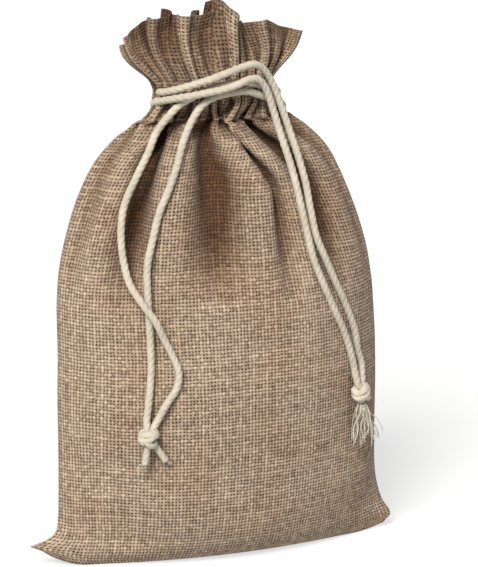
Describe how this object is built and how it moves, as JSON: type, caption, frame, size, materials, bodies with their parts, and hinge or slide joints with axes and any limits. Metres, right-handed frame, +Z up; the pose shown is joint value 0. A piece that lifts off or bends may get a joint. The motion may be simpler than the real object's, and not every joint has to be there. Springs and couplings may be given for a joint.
{
  "type": "drawstring gift pouch",
  "caption": "Filled cloth pouch with a flat base, gathered at the neck by crossed drawstrings under a frilled mouth, knotted cord ends hanging on the front.",
  "frame": {"origin": "on the floor under the middle of the pouch's base", "axes": "+Z up, +X to the right seen from the front, front of the pouch towards -Y"},
  "size_m": [0.186, 0.0857, 0.288],
  "materials": {
    "linen": "coarse plain weave, matt, slubbed",
    "linen_inside": "wrong side of the same weave, matt",
    "thread": "spun sewing thread, matt",
    "cotton_cord": "twisted undyed cotton, matt, slightly hairy"
  },
  "bodies": {
    "pouch": {"front_panel": "linen", "back_panel": "linen", "front_underside": "linen", "back_underside": "linen", "left_side_seam": "linen_inside", "right_side_seam": "linen_inside", "bottom_seam": "linen_inside", "front_casing": "linen", "front_facing": "linen_inside", "front_frill": "linen", "front_upper_stitching": "thread", "front_lower_stitching": "thread", "right_cord_front_run": "cotton_cord", "left_cord_front_run": "cotton_cord", "right_cord_slot_loop": "cotton_cord", "left_cord_slot_loop": "cotton_cord"},
    "mouth_back": {"back_casing": "linen", "back_facing": "linen_inside", "back_frill": "linen", "back_upper_stitching": "thread", "back_lower_stitching": "thread", "right_cord_back_run": "cotton_cord", "left_cord_back_run": "cotton_cord"},
    "left_tail": {"left_outer_strand": "cotton_cord", "left_inner_strand": "cotton_cord", "left_knot": "cotton_cord", "left_tails": "cotton_cord"},
    "right_tail": {"right_outer_strand": "cotton_cord", "right_inner_strand": "cotton_cord", "right_knot": "cotton_cord", "right_tassel": "cotton_cord"}
  },
  "joints": [
    {"name": "mouth_close", "type": "slide", "parent": "pouch", "child": "mouth_back", "axis": [0, -1, 0], "range_m": [-0.024, 0.01], "deforming": ["right_cord_front_run", "left_cord_front_run", "right_cord_slot_loop", "left_cord_slot_loop"]},
    {"name": "left_drawstring_pull", "type": "slide", "parent": "pouch", "child": "left_tail", "axis": [0, 0.05, -0.9987], "range_m": [-0.024, 0.01], "deforming": ["left_outer_strand", "left_inner_strand"]},
    {"name": "right_drawstring_pull", "type": "slide", "parent": "pouch", "child": "right_tail", "axis": [0.2786, 0.2189, -0.9351], "range_m": [-0.024, 0.01], "deforming": ["right_outer_strand", "right_inner_strand"]}
  ],
  "couplings": [
    {"joint": "left_drawstring_pull", "follows": "mouth_close", "ratio": 1},
    {"joint": "right_drawstring_pull", "follows": "mouth_close", "ratio": 1}
  ]
}
